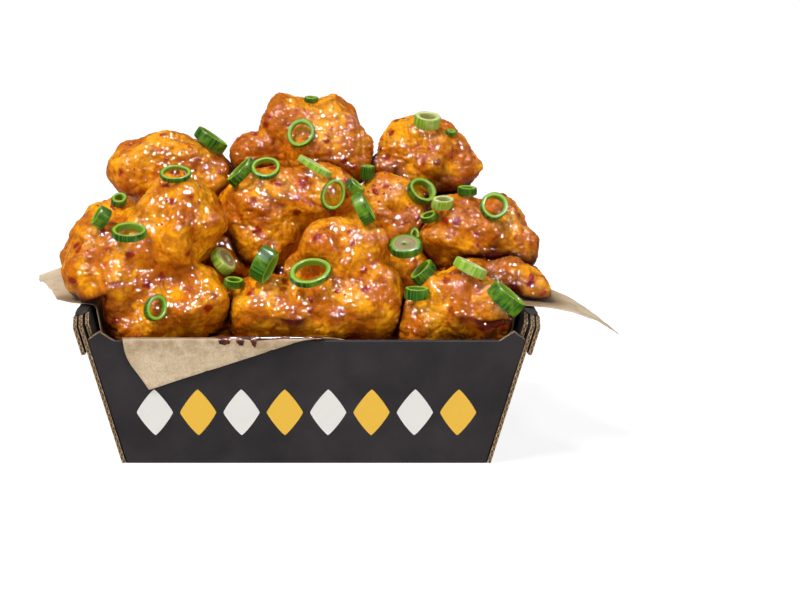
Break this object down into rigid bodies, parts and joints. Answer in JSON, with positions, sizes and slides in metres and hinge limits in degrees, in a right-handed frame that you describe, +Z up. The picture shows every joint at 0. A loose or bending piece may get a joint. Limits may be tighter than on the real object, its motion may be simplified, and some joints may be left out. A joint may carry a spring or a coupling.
{
  "type": "chicken wings serving",
  "caption": "Takeaway tray of folded black board, lined with brown paper and heaped with glazed boneless chicken wing pieces, with slices of spring onion lying on them.",
  "frame": {"origin": "the middle of the underside of the tray's floor, where it rests", "axes": "+X along the tray's long side, to the right as seen from its front; +Y from the front to the back; +Z up"},
  "size_m": [0.2591, 0.144, 0.1498],
  "materials": {
    "board": "matte black printed corrugated board with brown cut edges",
    "paper": "thin brown parchment, spotted with grease",
    "crust": "fried crust under a glossy orange glaze",
    "onion_green": "moist green spring onion",
    "onion_pale": "moist pale spring onion"
  },
  "bodies": {
    "root": {"tray": "board", "paper": "paper", "wing_front_left": "crust", "wing_upper_left": "crust", "wing_top": "crust", "wing_middle": "crust", "wing_front": "crust", "wing_upper_right": "crust", "wing_centre_right": "crust", "wing_right": "crust", "wing_right_low": "crust", "wing_front_right": "crust", "wing_gap_left": "crust", "wing_gap_right": "crust", "wing_floor_front_left": "crust", "wing_floor_front": "crust", "wing_floor_front_right": "crust", "wing_floor_back_left": "crust", "wing_floor_back": "crust", "wing_floor_back_right": "crust", "wing_core_left": "crust", "wing_core_right": "crust", "wing_back_left": "crust", "wing_back": "crust", "wing_back_right": "crust", "wing_rear_left": "crust", "wing_rear_top": "crust", "wing_rear_right": "crust", "onion_01": "onion_green", "onion_02": "onion_green", "onion_03": "onion_green", "onion_04": "onion_green", "onion_05": "onion_green", "onion_06": "onion_green", "onion_07": "onion_pale", "onion_08": "onion_green", "onion_09": "onion_green", "onion_10": "onion_green", "onion_11": "onion_green", "onion_12": "onion_pale", "onion_13": "onion_green", "onion_14": "onion_green", "onion_15": "onion_pale", "onion_16": "onion_green", "onion_17": "onion_green", "onion_18": "onion_green", "onion_19": "onion_green", "onion_20": "onion_pale", "onion_21": "onion_green", "onion_22": "onion_pale", "onion_23": "onion_green", "onion_24": "onion_green", "onion_25": "onion_pale", "onion_26": "onion_green", "onion_27": "onion_green", "onion_28": "onion_green", "onion_29": "onion_green", "onion_30": "onion_green", "onion_31": "onion_green", "onion_32": "onion_green"}
  },
  "joints": []
}
